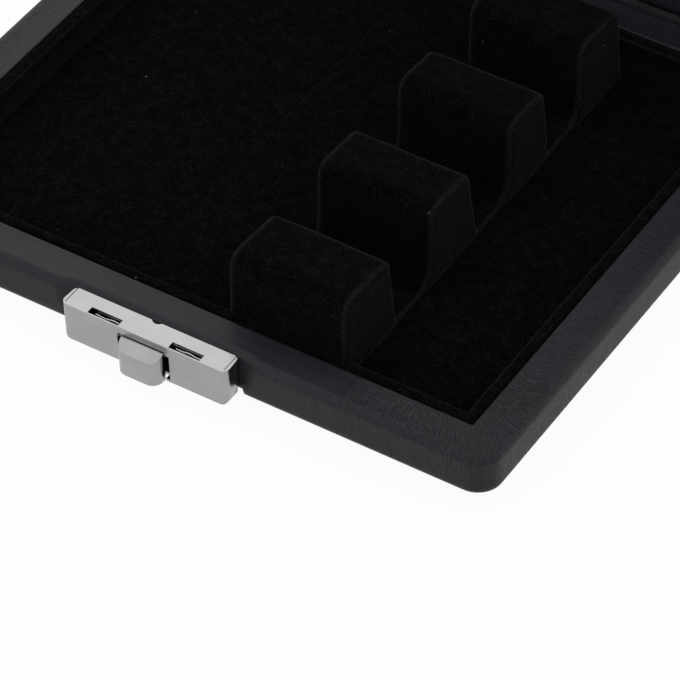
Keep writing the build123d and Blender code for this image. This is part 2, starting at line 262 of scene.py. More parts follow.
sheet_low, sheet_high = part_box("base_bottom_cover")
sheet_size = sheet_high - sheet_low
sheet_thickness = 0.3 * mm
sheet_sink = 0.18 * mm
sink_run = 1.5 * mm
flap_inner = Vector((54.0 * mm, 47.5 * mm))
ripple_scale = 160.0
ripple_height = 0.03 * mm
thread_scale = 420.0
thread_wander = 0.6
thread_depth = 0.06 * mm
cloth_dark = (0.004, 0.004, 0.005)
cloth_pale = (0.016, 0.016, 0.018)

underside = only(
    "underside_cloth", bpy.ops.mesh.primitive_grid_add, x_subdivisions=96, y_subdivisions=88, size=1.0,
)
bpy.ops.transform.resize(value=(sheet_size.x, sheet_size.y, 1.0))
bpy.ops.mesh.flip_normals()
edit_left()
for point in underside.data.vertices:
    inside = min(flap_inner.x - abs(point.co.x), flap_inner.y - abs(point.co.y))
    ripple = noise.noise(Vector((point.co.x, point.co.y, 0.3)) * ripple_scale)
    point.co.z = eased(inside / sink_run) * (sheet_sink + ripple_height * ripple)
finished(underside, ("SOLIDIFY", {"thickness": sheet_thickness, "offset": -1.0}))
smoothed(40)

cloth, tree, shader = new_material("lining_cloth")
crossing = object_pattern(tree, (1.0, 1.0, 1.0))
threads = 1.0
for direction in ("X", "Y"):
    wave = tree.nodes.new("ShaderNodeTexWave")
    set_on(wave, {"Scale": thread_scale, "Distortion": thread_wander})
    wave.bands_direction = direction
    tree.links.new(crossing, wave.inputs["Vector"])
    threads = combined(tree, "MULTIPLY", threads, wave.outputs["Fac"])
tree.links.new(graded(tree, threads, [(0.0, cloth_dark), (1.0, cloth_pale)]), shader.inputs["Base Color"])
tree.links.new(bumped(tree, threads, thread_depth), shader.inputs["Normal"])
set_on(shader, {"Roughness": 0.9, "Specular IOR Level": 0.2})
fitted(underside, cloth, "base", ["base_bottom_cover"])


# Tray leather. One strip of thin black leather, wrapped round the board from the lip of the well over
# the rim and the side to the underside. It is pulled round the corners, which fans fine creases
# across the rim, and is pressed into the shallow recess behind the latch.
outer_half = Vector((60.9 * mm, 54.4 * mm))
inner_half = Vector((54.0 * mm, 47.5 * mm))
corner_radius = 4.5 * mm
skin = 0.5 * mm
tray_low = 0.3 * mm
tray_top = 8.0 * mm
under_round = 1.5 * mm
rim_round = 1.4 * mm
lip_round = 0.25 * mm
lip_middle = 0.6 * mm
lip_depth = 1.0 * mm
rim_dish = 0.09 * mm
latch_x = 0.55 * mm
recess = 0.85 * mm
recess_half = 15.5 * mm
recess_run = 3.4 * mm
recess_run_low = 0.8 * mm
recess_foot = 0.3 * mm
recess_climb = 6.5 * mm
fan_reach = 11.0 * mm
strip_stations = 1040
fold_steps = 6
leather_scatter = 0.05 * mm
leather_out_limit = 0.02 * mm
dish_rise = 0.12
dish_fall = 0.3
corner_reach = 62.0 * mm
rim_creased = Vector((50.0 * mm, 44.0 * mm))
rim_fade = 8.0 * mm
rear_creased = 10.0 * mm
rear_fade = 30.0 * mm
least_creased = 0.06
lip_hold = 1.2 * mm
foot_hold = 1.0 * mm
foot_fade = 1.5 * mm


def quarter_turns(steps, first=0):
    """The sine and cosine at even steps of a quarter turn."""
    turns = [math.pi / 2 * step / steps for step in range(first, steps + 1)]
    return [(math.sin(turn), math.cos(turn)) for turn in turns]


def stations(count):
    """Places round the case: the outer edge, its way out, the place on the well's lip and its way out."""
    straight_x = outer_half.x - corner_radius
    straight_y = outer_half.y - corner_radius
    arc = math.pi / 2 * corner_radius
    quarter = [straight_y, arc, straight_x]
    whole = 4 * sum(quarter)
    places = []
    for step in range(count):
        along = whole * step / count
        corner = int(along // sum(quarter))
        rest = along - corner * sum(quarter)
        lengths = quarter if corner % 2 == 0 else quarter[::-1]
        half = outer_half if corner % 2 == 0 else Vector((outer_half.y, outer_half.x))
        inner = inner_half if corner % 2 == 0 else Vector((inner_half.y, inner_half.x))
        if rest < lengths[0]:
            edge = Vector((half.x, rest))
            way = Vector((1.0, 0.0))
        elif rest < lengths[0] + arc:
            turn = (rest - lengths[0]) / corner_radius
            way = Vector((math.cos(turn), math.sin(turn)))
            edge = Vector((half.x, half.y)) - Vector((corner_radius, corner_radius)) + way * corner_radius
        else:
            edge = Vector((half.x - corner_radius - (rest - lengths[0] - arc), half.y))
            way = Vector((0.0, 1.0))
        start = lengths[0] - fan_reach
        end = lengths[0] + arc + fan_reach
        if rest < start:
            lip = Vector((inner.x, rest))
            lip_way = Vector((1.0, 0.0))
        elif rest < end:
            share = (rest - start) / (end - start)
            up = inner.y - start
            over = inner.x - (half.x - corner_radius - fan_reach)
            if share < 0.5:
                lip = Vector((inner.x, start + up * share * 2))
                lip_way = Vector((1.0, 0.0))
            else:
                lip = Vector((inner.x - over * (share * 2 - 1), inner.y))
                lip_way = Vector((0.0, 1.0))
            if abs(share - 0.5) < 0.5 / (count / 4 * (end - start) / sum(quarter)):
                lip_way = Vector((1.0, 1.0))
        else:
            lip = Vector((edge.x, inner.y))
            lip_way = Vector((0.0, 1.0))
        turned = Matrix.Rotation(corner * math.pi / 2, 2)
        places.append((turned @ edge, turned @ way, turned @ lip, turned @ lip_way))
    return places


def into_recess(edge, way, height):
    """How far the leather is drawn in behind the latch: a long soft run at its top, a short one below."""
    if way.y > -0.99:
        return 0.0
    run = recess_run_low + (recess_run - recess_run_low) * eased(abs(height - recess_foot) / recess_climb)
    return recess * eased((recess_half + run - abs(edge.x - latch_x)) / run)


def tray_rows():
    """Across the strip: share of the way to the lip, inset of the outer edge, height, way out of the lip."""
    side_low = tray_low + under_round
    side_high = tray_top - rim_round
    rows = [(share, under_round, tray_low, 0.0) for share in (1.0, 0.55, 0.15)]
    rows += [
        (0.0, under_round * (1 - sine), tray_low + under_round * (1 - cosine), 0.0)
        for sine, cosine in quarter_turns(fold_steps - 1)
    ]
    rows += [(0.0, 0.0, side_low + (side_high - side_low) * step / 8, 0.0) for step in range(1, 8)]
    rows += [
        (0.0, rim_round * (1 - cosine), side_high + rim_round * sine, 0.0)
        for sine, cosine in quarter_turns(fold_steps)
    ]
    rows += [(step / 10, rim_round, tray_top, lip_round) for step in range(1, 11)]
    rows += [
        (1.0, rim_round, tray_top - lip_round * (1 - cosine), lip_round * (1 - sine))
        for sine, cosine in quarter_turns(3, 1)
    ]
    rows += [(1.0, rim_round, tray_top - depth, 0.0) for depth in (lip_middle, lip_depth)]
    return rows


def joined():
    """Into edit mode, with the points that touch made one."""
    bpy.ops.object.mode_set(mode="EDIT")
    bpy.ops.mesh.select_all(action="SELECT")
    bpy.ops.mesh.remove_doubles(threshold=touching)


def facing_out():
    """Turns all faces outwards."""
    bpy.ops.mesh.select_all(action="SELECT")
    bpy.ops.mesh.normals_make_consistent(inside=False)


def wrapped(name, places, rows, shape):
    """A flat strip of leather laid round the case: each point of a grid goes to its station and row."""
    piece = only(
        name, bpy.ops.mesh.primitive_grid_add,
        x_subdivisions=len(places), y_subdivisions=len(rows) - 1, size=1.0, calc_uvs=True,
    )
    edit_left()
    for point in piece.data.vertices:
        place = round((point.co.x + 0.5) * len(places)) % len(places)
        row = round((point.co.y + 0.5) * (len(rows) - 1))
        point.co = shape(*places[place], *rows[row])
    joined()
    facing_out()
    edit_left()
    return piece


def tray_leather_point(edge, way, lip, lip_way, share, inset, height, lip_out):
    """Where one row of the tray's leather lies at one station, with the rim's top a little dished."""
    drawn = into_recess(edge, way, height) * (1 - share)
    outside = edge - way * (inset + drawn)
    inside = lip + lip_way * lip_out
    spot = outside.lerp(inside, share)
    dish = 0.0
    if height > tray_top - lip_depth / 2 and share > 0:
        dish = rim_dish * eased(share / dish_fall) * eased((1.0 - share) / dish_rise)
    return Vector((spot.x, spot.y, height - dish))


def creasing(x, y):
    """Where the leather is creased: most at the front right corner, then along the right rim."""
    corner = eased(1 - ((outer_half.x - x) + (y + outer_half.y)) / corner_reach)
    right = 0.45 * eased((x - rim_creased.x) / rim_fade)
    rear = 0.5 * eased((y - rim_creased.y) / rim_fade) * eased((x - rear_creased) / rear_fade)
    left = 0.3 * eased((-x - rim_creased.x) / rim_fade)
    return max(corner, right, rear, left, least_creased)


def rolling(place, scale, seed, scale_z=None):
    """A soft noise at a place, from about minus one to one."""
    return noise.noise(Vector((place.x * scale, place.y * scale, place.z * (scale_z or scale) + seed)))


def pushed(piece, push):
    """Moves each point along its normal, all of them measured before the first one moves."""
    moves = [point.normal * push(point.co) for point in piece.data.vertices]
    for point, move in zip(piece.data.vertices, moves):
        point.co += move


def noted(piece, name, values):
    """Keeps a value for each point, for a material to read."""
    piece.data.attributes.new(name, "FLOAT", "POINT").data.foreach_set("value", values)


def softened(piece, free, seed):
    """Moves the leather in and out by soft swells, and notes where it is creased."""
    def push(place):
        crease = creasing(place.x, place.y)
        swell = rolling(place, 90, seed)
        fine = rolling(place, 520, seed, 60)
        out = leather_scatter * (0.6 * swell + (0.35 + crease) * fine)
        return min(out, leather_out_limit) * free(place)

    noted(piece, "creased", [creasing(point.co.x, point.co.y) for point in piece.data.vertices])
    pushed(piece, push)


def off_lip(place):
    """Nought at the lip of the well, and one from a little way off it."""
    held = max(abs(place.x) - inner_half.x, abs(place.y) - inner_half.y)
    return eased(held / lip_hold)


def tray_leather_free(place):
    """The leather is free to swell on its rim and side, and held at the lip and under the tray."""
    return off_lip(place) * eased((place.z - foot_hold) / foot_fade)


hinge_y = 54.6 * mm
hinge_z = 8.075 * mm
pocket_half = 15.15 * mm
pocket_back = 60.0 * mm
pocket_room = 0.02 * mm
leaf_thickness = 0.6 * mm
leaf_front = 48.25 * mm
barrel_room = 1.5 * mm


def cut_away(piece, cutters, solver):
    """Takes the cutters out of the piece, one after the other."""
    for cutter in cutters:
        finished(piece, ("BOOLEAN", {"operation": "DIFFERENCE", "object": cutter, "solver": solver}))
        bpy.data.objects.remove(cutter)


def cut_block(low, high):
    """A block used to cut, out of edit mode."""
    cutter = block("cut", low, high)
    edit_left()
    return cutter


def pocket_cut(piece, leaf_low, leaf_high):
    """Cuts the pocket for the hinge's leaf and barrel."""
    leaf_space = cut_block((-pocket_half, leaf_front, leaf_low), (pocket_half, pocket_back, leaf_high))
    barrel_space = only(
        "cut", bpy.ops.mesh.primitive_cylinder_add, vertices=48, radius=barrel_room,
        depth=2 * pocket_half, location=(0, hinge_y, hinge_z), rotation=(0, math.pi / 2, 0),
    )
    edit_left()
    cut_away(piece, [leaf_space, barrel_space], "MANIFOLD")


def backed(piece):
    """Gives the leather its thickness."""
    finished(piece, ("SOLIDIFY", {"thickness": skin, "offset": -1.0, "use_rim": True}))


tray_leather = wrapped("tray_leather", stations(strip_stations), tray_rows(), tray_leather_point)
softened(tray_leather, tray_leather_free, 3.0)
backed(tray_leather)
pocket_cut(tray_leather, tray_top - leaf_thickness - pocket_room, tray_top + 2 * past)
smoothed(50)

crease_gap = 0.47
crease_wander = 19.0
crease_drift = (0.55, 0.11, 1.0)
crease_breaks = (1.7, 0.62, 1.0)
# Painted shade in the creases: its share and its colour.
crease_shade_share = 0.85
crease_depth = 0.2 * mm
crease_shade_colour = (0.002, 0.002, 0.0025)
pore_scale = 2.6
pore_depth = 0.02 * mm
pebble_scale = 0.9
pebble_depth = 0.025 * mm
cloud_scale = 0.12
leather_dark = (0.0088, 0.0086, 0.0125)
leather_pale = (0.0118, 0.0114, 0.0168)


def marked(tree, name):
    """A value kept on the points of the piece."""
    node = tree.nodes.new("ShaderNodeAttribute")
    node.attribute_name = name
    return node.outputs["Fac"]


def overlaid(tree, share, colour, plain):
    """A colour with that share of a plain one over it."""
    node = tree.nodes.new("ShaderNodeMix")
    node.data_type = "RGBA"
    tree.links.new(share, node.inputs[0])
    tree.links.new(colour, node.inputs[6])
    node.inputs[7].default_value = (*plain, 1.0)
    return node.outputs[2]


def leather_material(name, strip_length, strip_width):
    """Black leather: pores, a soft pebble, and creases that run across the strip, with painted shade in
    them.
    """
    material, tree, shader = new_material(name)
    body = object_pattern(tree)
    pores = noise_node(tree, body, pore_scale, 3.0, 0.6)
    pebble = noise_node(tree, body, pebble_scale, 2.0, 0.5)
    cloudy = noise_node(tree, body, cloud_scale, 3.0, 0.5)
    strip = tree.nodes.new("ShaderNodeTexCoord").outputs["UV"]
    laid = mapped(tree, strip, (strip_length / mm, strip_width / mm, 1.0))
    drift = noise_node(tree, mapped(tree, laid, crease_drift), 1.0, 3.0, 0.55)
    breaks = noise_node(tree, mapped(tree, laid, crease_breaks), 1.0, 2.0, 0.5)
    broken = ranged(tree, breaks, 0.4, 0.56, 0.0, 1.0, smooth=True)
    apart = tree.nodes.new("ShaderNodeSeparateXYZ")
    tree.links.new(laid, apart.inputs["Vector"])
    count = combined(tree, "MULTIPLY", apart.outputs["X"], 2 * math.pi / crease_gap)
    wander = combined(tree, "MULTIPLY", drift, crease_wander)
    ripple = combined(tree, "SINE", combined(tree, "ADD", count, wander), 0.0)
    groove = ranged(tree, ripple, 0.3, 1.0, 0.0, 1.0, smooth=True)
    worn = combined(tree, "MULTIPLY", groove, marked(tree, "creased"))
    creases = combined(tree, "MULTIPLY", worn, broken)
    relief = bumped(tree, pores, pore_depth)
    relief = bumped(tree, pebble, pebble_depth, relief)
    relief = bumped(tree, combined(tree, "SUBTRACT", 1.0, creases), crease_depth, relief)
    tree.links.new(relief, shader.inputs["Normal"])
    tone = graded(tree, cloudy, [(0.3, leather_dark), (0.7, leather_pale)])
    # Painted shade: the creases are darkened towards a near-black colour.
    share = combined(tree, "MULTIPLY", creases, crease_shade_share)
    tree.links.new(overlaid(tree, share, tone, crease_shade_colour), shader.inputs["Base Color"])
    tree.links.new(ranged(tree, pores, 0.3, 0.7, 0.5, 0.38), shader.inputs["Roughness"])
    set_on(shader, {"Specular IOR Level": 0.26})
    return material


strip_around = 4 * (outer_half.x + outer_half.y - 2 * corner_radius + math.pi / 2 * corner_radius)
strip_across = 21.0 * mm
tray_hide = leather_material("tray_leather_black", strip_around, strip_across)
fitted(tray_leather, tray_hide, "base", ["base_leather"])


# Floor pads and linings of the tray. Cards covered with black velvet: two pads on the floor that meet in
# a seam, and four strips stood round the well, whose soft top edges lie level with the leather's lip.
pile_scale = 2.7
pile_depth = 0.06 * mm
rubbed_scale = 0.5
lint_scale = 0.16
hair_scale = 0.11
pile_stops = [
    (0.36, (0.0012, 0.0012, 0.0013)),
    (0.5, (0.0030, 0.0030, 0.0031)),
    (0.62, (0.0064, 0.0064, 0.0066)),
]
# Pale grey of the painted sheen on the velvet's edges.
painted_sheen_colour = (0.012, 0.012, 0.0123)
lint_colour = (0.12, 0.12, 0.12)
hair_stretch = (300.0, 1500.0, 700.0)


def scattered(tree, vector, scale):
    """Cells scattered at random."""
    node = tree.nodes.new("ShaderNodeTexVoronoi")
    set_on(node, {"Scale": scale})
    tree.links.new(vector, node.inputs["Vector"])
    return node.outputs


def velvet_material():
    """Black cotton velvet: a deep pile, rubbed here and there, with lint, and a painted sheen where it turns
    over edges.
    """
    material, tree, shader = new_material("black_velvet")
    body = object_pattern(tree)
    pile = noise_node(tree, body, pile_scale, 3.0, 0.75)
    rubbed = ranged(tree, noise_node(tree, body, rubbed_scale, 4.0, 0.65), 0.3, 0.7, 0.75, 1.1)
    tone = graded(tree, combined(tree, "MULTIPLY", pile, rubbed), pile_stops)
    # Painted sheen: the edges marked as turned are lightened towards a pale grey, broken up by the pile
    # noise.
    sheen_breakup = ranged(tree, pile, 0.38, 0.6, 0.2, 1.0)
    edge_sheen_share = combined(tree, "MULTIPLY", marked(tree, "turned"), sheen_breakup)
    specks = scattered(tree, body, lint_scale)
    lint = ranged(tree, specks["Distance"], 0.016, 0.034, 1.0, 0.0, smooth=True)
    chosen = tree.nodes.new("ShaderNodeSeparateColor")
    tree.links.new(specks["Color"], chosen.inputs["Color"])
    some = ranged(tree, chosen.outputs["Red"], 0.3, 0.95, 0.0, 1.0)
    hairs = scattered(tree, object_pattern(tree, hair_stretch), hair_scale)
    hair = ranged(tree, hairs["Distance"], 0.02, 0.034, 0.4, 0.0, smooth=True)
    dusty = combined(tree, "MAXIMUM", combined(tree, "MULTIPLY", lint, some), hair)
    with_painted_sheen = overlaid(tree, edge_sheen_share, tone, painted_sheen_colour)
    tree.links.new(overlaid(tree, dusty, with_painted_sheen, lint_colour), shader.inputs["Base Color"])
    tree.links.new(bumped(tree, pile, pile_depth), shader.inputs["Normal"])
    set_on(shader, {"Roughness": 1.0, "Specular IOR Level": 0.0})
    set_on(shader, {"Sheen Weight": 0.04, "Sheen Roughness": 0.4, "Sheen Tint": (1.0, 1.0, 1.0, 1.0)})
    return material


velvet = velvet_material()
lid_angle = math.radians(-105)
turn = Matrix.Translation((0, hinge_y, hinge_z)) @ Matrix.Rotation(lid_angle, 4, "X")
opened = turn @ Matrix.Translation((0, -hinge_y, -hinge_z))
lining_round = 0.7 * mm
pad_round = 0.25 * mm
card_step = 1.2 * mm
card_sheen_fade = 0.8 * mm


def rounded_off(offset, segments, **values):
    """Rounds the picked edges."""
    bpy.ops.mesh.bevel(offset=offset, segments=segments, profile=0.5, affect="EDGES", **values)


def card_sheen_edges(place, normal):
    """The painted sheen line on a lining's edge towards the well, and none next to the leather."""
    beyond = max(abs(place.x) - inner_half.x, abs(place.y) - inner_half.y)
    square = max(abs(part) for part in normal)
    return 0.8 * eased((0.97 - square) / 0.15) * eased((-beyond - card_sheen_fade) / card_sheen_fade)


def sheen_edges_noted(piece, turned):
    """Notes where the pile turns over an edge, for the painted sheen there."""
    noted(piece, "turned", [turned(point.co, point.normal) for point in piece.data.vertices])


def velvet_card(name, low, high, radius, show_up, waves, seed):
    """A card wrapped in velvet: the edges of its showing side are soft, and no face is quite flat."""
    card = block(name, low, high)
    face = high[2] if show_up else low[2]
    pick(card, "EDGE", lambda a, b: abs(a.z - face) < touching and abs(b.z - face) < touching)
    rounded_off(radius, 5)
    for axis in (0, 1):
        span = high[axis] - low[axis]
        pick(card, "EDGE", lambda a, b: abs(a[axis] - b[axis]) > span - 3 * radius)
        bpy.ops.mesh.subdivide(number_cuts=max(1, int(span / card_step)))
    edit_left()

    def push(place):
        showing = abs(place.z - face) < (high[2] - low[2]) * 0.6
        uneven = 0.55 + 0.45 * rolling(place, 110, seed) + 0.25 * rolling(place, 420, seed)
        return -waves * showing * uneven

    pushed(card, push)
    finished(card)
    sheen_edges_noted(card, card_sheen_edges)
    smoothed(60)
    return card


def swung_open(piece):
    """Turns a piece of the lid from shut to standing open, in its mesh."""
    piece.data.transform(opened)
    piece.data.update()


def lined(node, low, high, radius, waves, body, fill, seed=None):
    """A velvet card in place of a node; a card of the lid is made shut and then swung open."""
    card = velvet_card(node + "_velvet", low, high, radius, body == "base", waves, seed or len(node))
    if body == "lid":
        swung_open(card)
    fitted(card, velvet, body, [node])


pad_fill = 0.3
pad_waves = 0.05 * mm
lining_fill = 0.5
lining_waves = 0.09 * mm
seam_closing = 0.07 * mm
pad_low, pad_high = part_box("floor_pad_left")
pad_high.x += seam_closing
lined("floor_pad_left", pad_low, pad_high, pad_round, pad_waves, "base", pad_fill)
pad_low, pad_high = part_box("floor_pad_right")
pad_low.x -= seam_closing
lined("floor_pad_right", pad_low, pad_high, pad_round, pad_waves, "base", pad_fill)
for name in ("liner_front", "liner_rear", "liner_left", "liner_right"):
    lined(name, *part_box(name), lining_round, lining_waves, "base", lining_fill)


# Reed block. A row of four foam humps with a trough between each two for a reed's throat, all under one
# piece of velvet that is glued down over them and drawn into the troughs.
block_low, block_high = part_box("reed_block_velvet")
crest = block_high.z
valley = 3.1 * mm
hump_fall = 0.9 * mm
humps = [
    (-45.05 * mm, -31.75 * mm, -29.55 * mm),
    (-19.55 * mm, -7.95 * mm, -4.75 * mm),
    (4.85 * mm, 15.85 * mm, 17.95 * mm),
    (27.45 * mm, 40.35 * mm, 42.55 * mm),
]
front_round = 2.6 * mm
back_round = 1.7 * mm
trough_front_round = 3.6 * mm
trough_back_round = 0.9 * mm
end_round = 0.75 * mm
voxel = 0.42 * mm
block_swell = 0.10 * mm
block_ripple = 0.03 * mm
glued_rise = 1.0 * mm
sheen_width = 1.1 * mm
sheen_fade = 0.5 * mm


def rounded_line(corners, radii, steps):
    """A closed line of (y, z) corners with its corners rounded."""
    points = []
    count = len(corners)
    for place in range(count):
        here = Vector(corners[place])
        before = (Vector(corners[place - 1]) - here).normalized()
        after = (Vector(corners[(place + 1) % count]) - here).normalized()
        radius = radii[place]
        if radius == 0:
            points.append(here)
            continue
        half = before.angle(after) / 2
        reach = radius / math.tan(half)
        centre = here + (before + after).normalized() * (radius / math.sin(half))
        first = here + before * reach - centre
        last = here + after * reach - centre
        sweep = first.angle_signed(last)
        for step in range(steps + 1):
            points.append(centre + Matrix.Rotation(-sweep * step / steps, 2) @ first)
    return points


corners = [(humps[0][0], block_low.z)]
radii = [0]
for place, (front, back, foot) in enumerate(humps):
    last = place == len(humps) - 1
    if place > 0:
        corners.append((front, valley))
        radii.append(trough_front_round)
    corners += [(front, crest), (back, crest - hump_fall), (foot, block_low.z if last else valley)]
    radii += [front_round, back_round, 0 if last else trough_back_round]
profile = rounded_line(corners, radii, 8)
reed_block = only(
    "reed_block", bpy.ops.mesh.primitive_circle_add, vertices=len(profile), radius=1.0, fill_type="NOTHING",
)
edit_left()
for point, (y, z) in zip(reed_block.data.vertices, profile):
    point.co = (block_low.x, y, z)
bpy.ops.object.mode_set(mode="EDIT")
bpy.ops.mesh.select_all(action="SELECT")
bpy.ops.mesh.edge_face_add()
bpy.ops.mesh.extrude_region_move(TRANSFORM_OT_translate={"value": (block_high.x - block_low.x, 0, 0)})
facing_out()
pick(
    reed_block, "EDGE",
    lambda a, b: any(
        abs(a.x - end) < touching and abs(b.x - end) < touching for end in (block_low.x, block_high.x)
    ) and (a.z + b.z) / 2 > block_low.z + near,
)
rounded_off(end_round, 4)
finished(
    reed_block,
    ("REMESH", {"mode": "VOXEL", "voxel_size": voxel, "adaptivity": 0.0, "use_smooth_shade": True}),
    ("SMOOTH", {"factor": 0.5, "iterations": 3}),
)


def block_push(place):
    """Soft swells of the foam and the pile, and none where the block is glued down."""
    free = eased((place.z - block_low.z) / glued_rise)
    return free * (block_swell * rolling(place, 95, 7) + block_ripple * rolling(place, 380, 7))


def block_sheen_edges(place, normal):
    """The painted sheen lines round the block's ends and along the back of each hump's top."""
    to_end = min(place.x - block_low.x, block_high.x - place.x)
    end = eased((sheen_width - to_end) / sheen_fade) * eased((0.985 - abs(normal.x)) / 0.1)
    back = eased((normal.y - 0.25) / 0.3) * eased((normal.z - 0.3) / 0.25)
    return max(end, 0.85 * back) * eased((place.z - block_low.z) / sheen_fade)


pushed(reed_block, block_push)
sheen_edges_noted(reed_block, block_sheen_edges)
fitted(reed_block, velvet, "base", ["reed_block_velvet", "reed_block_foam"])


# Latch body. One folded piece of nickel-plated steel: a front with a soft bend at its top, a top with two
# slots for the hooks and a small thumb notch, and end walls folded down, with a fine seam at each end.
recess_y = -53.55 * mm
latch_low = 0.2 * mm
latch_top = 7.7 * mm
latch_front = -57.75 * mm
latch_half = 15.2 * mm
latch_flare = 0.25 * mm
latch_slant = 0.4 * mm
latch_wall = 0.5 * mm
top_bend = 0.8 * mm
front_corner = 1.25 * mm
back_corner = 0.8 * mm
low_corner = 1.5 * mm
slot_offset = 7.55 * mm
slot_length = 5.8 * mm
slot_front = -57.5 * mm
slot_back = -56.1 * mm
button_half = 3.9 * mm
foot_gap = 0.12 * mm
gap_half = 4.8 * mm
gap_top = 6.4 * mm
thumb_radius = 1.1 * mm
thumb_depth = 0.5 * mm
seam_width = 0.18 * mm
seam_depth = 0.22 * mm
seam_inset = 0.42 * mm
seam_start = 0.55 * mm
opening_past = 0.3 * mm
foot_past = 1.15 * mm
broken_edge = 0.07 * mm


def edges_broken(piece, width, degrees):
    """Takes the sharpness off the edges that turn by more than that."""
    finished(piece, ("BEVEL", {
        "width": width, "segments": 2, "limit_method": "ANGLE", "angle_limit": math.radians(degrees),
    }))


wide = latch_half + latch_flare
latch = block("latch_case", (latch_x - wide, latch_front, latch_low), (latch_x + wide, recess_y, latch_top))
for side in (-1, 1):
    end = latch_x + side * wide
    pick(latch, "VERT", lambda p: abs(p.x - end) < touching and p.y > recess_y - touching)
    bpy.ops.transform.translate(value=(-side * latch_flare, 0, 0))
pick(latch, "VERT", lambda p: p.y < latch_front + touching and p.z < latch_low + touching)
bpy.ops.transform.translate(value=(0, latch_slant, 0))
pick(latch, "EDGE", lambda a, b: abs(a.z - b.z) > 5 * mm and a.y < recess_y - 3 * mm)
rounded_off(front_corner, 8)
pick(latch, "EDGE", lambda a, b: abs(a.z - b.z) > 5 * mm and a.y > recess_y - near)
rounded_off(back_corner, 6)
pick(
    latch, "EDGE",
    lambda a, b: min(a.z, b.z) > latch_top - touching and max(a.y, b.y) < latch_front + touching,
)
rounded_off(top_bend, 8, clamp_overlap=False)
foot_half = button_half + foot_gap
latch_cuts = [
    cut_block(
        (latch_x - latch_half + latch_wall, latch_front + latch_wall, latch_low + latch_wall),
        (latch_x + latch_half - latch_wall, recess_y + past, latch_top - latch_wall),
    ),
    cut_block(
        (latch_x - gap_half, latch_front - past, latch_low + latch_wall),
        (latch_x + gap_half, latch_front + latch_wall + opening_past, gap_top),
    ),
    cut_block(
        (latch_x - foot_half, latch_front - past, latch_low - past),
        (latch_x + foot_half, latch_front + latch_wall + foot_past, latch_low + 2 * latch_wall),
    ),
]
for side in (-1, 1):
    middle = latch_x + side * slot_offset
    latch_cuts.append(cut_block(
        (middle - slot_length / 2, slot_front, latch_top - past),
        (middle + slot_length / 2, slot_back, latch_top + past),
    ))
    seam = latch_x + side * (latch_half - seam_inset)
    latch_cuts.append(cut_block(
        (seam - seam_width / 2, latch_front + seam_start, latch_top - seam_depth),
        (seam + seam_width / 2, recess_y + past, latch_top + past),
    ))
thumb = only(
    "cut", bpy.ops.mesh.primitive_cylinder_add, vertices=40, radius=thumb_radius, depth=4 * mm,
    location=(latch_x, recess_y + thumb_radius - thumb_depth, latch_top),
)
edit_left()
latch_cuts.append(thumb)
front_view = block(
    "cut", (latch_x - wide, latch_front - 2 * past, latch_low),
    (latch_x + wide, recess_y + 2 * past, latch_top + 2 * past),
)
pick(front_view, "EDGE", lambda a, b: abs(a.y - b.y) > 3 * mm and a.z < latch_low + touching)
rounded_off(low_corner, 10)
edit_left()
finished(latch, ("BOOLEAN", {"operation": "INTERSECT", "object": front_view, "solver": "EXACT"}))
bpy.data.objects.remove(front_view)
cut_away(latch, latch_cuts, "EXACT")
edges_broken(latch, broken_edge, 50)
smoothed(35)

bloom_scale = 0.25
rub_stretch = (900.0, 4000.0, 9000.0)
rub_depth = 0.0015 * mm


def plated(name, colour, roughness):
    """Plated metal: bright, with a faint uneven bloom and fine rubbing marks."""
    material, tree, shader = new_material(name)
    bloom = noise_node(tree, object_pattern(tree), bloom_scale, 3.0, 0.6)
    rubs = noise_node(tree, object_pattern(tree, rub_stretch), 1.0, 4.0, 0.6)
    pale = tuple(channel * 1.04 for channel in colour)
    deep = tuple(channel * 0.95 for channel in colour)
    worn = combined(tree, "ADD", bloom, rubs)
    tree.links.new(graded(tree, bloom, [(0.3, deep), (0.7, pale)]), shader.inputs["Base Color"])
    blurred = ranged(tree, worn, 0.7, 1.3, roughness - 0.05, roughness + 0.06)
    tree.links.new(blurred, shader.inputs["Roughness"])
    tree.links.new(bumped(tree, rubs, rub_depth), shader.inputs["Normal"])
    set_on(shader, {"Metallic": 1.0})
    return material


nickel = plated("bright_nickel", (0.42, 0.414, 0.409), 0.2)
fitted(latch, nickel, "base", ["latch_body"])


# Push button. Folded from the same plated sheet: a top that slopes down to a crisp front fold, a front,
# and rounded sides. It slides in and out of the gap in the latch's front and carries the bolt.
button_back = -57.2 * mm
button_shoulder = -57.85 * mm
button_nose = -60.05 * mm
button_top = 6.15 * mm
button_drop = 1.2 * mm
button_low = 0.25 * mm
button_slant = 0.15 * mm
button_side_round = 1.95 * mm
button_fold = 0.55 * mm
button_edge = 0.09 * mm

button = block(
    "push_button", (latch_x - button_half, button_nose, button_low),
    (latch_x + button_half, button_back, button_top),
)
bpy.ops.mesh.select_all(action="SELECT")
bpy.ops.mesh.bisect(plane_co=(0, button_shoulder, 0), plane_no=(0, 1, 0))
pick(button, "VERT", lambda p: p.y < button_nose + touching and p.z > button_top - touching)
bpy.ops.transform.translate(value=(0, 0, -button_drop))
pick(button, "VERT", lambda p: p.y < button_nose + touching and p.z < button_low + touching)
bpy.ops.transform.translate(value=(0, button_slant, 0))
pick(
    button, "EDGE",
    lambda a, b: abs(a.z - b.z) > 3 * mm and max(a.y, b.y) < button_nose + 2 * button_slant,
)
rounded_off(button_side_round, 7)
pick(
    button, "EDGE",
    lambda a, b: min(a.z, b.z) > button_top - button_drop - near and max(a.y, b.y) < button_nose + near,
)
rounded_off(button_fold, 6)
edges_broken(button, button_edge, 40)
smoothed(35)
fitted(button, nickel, "latch_slide", ["latch_button"])


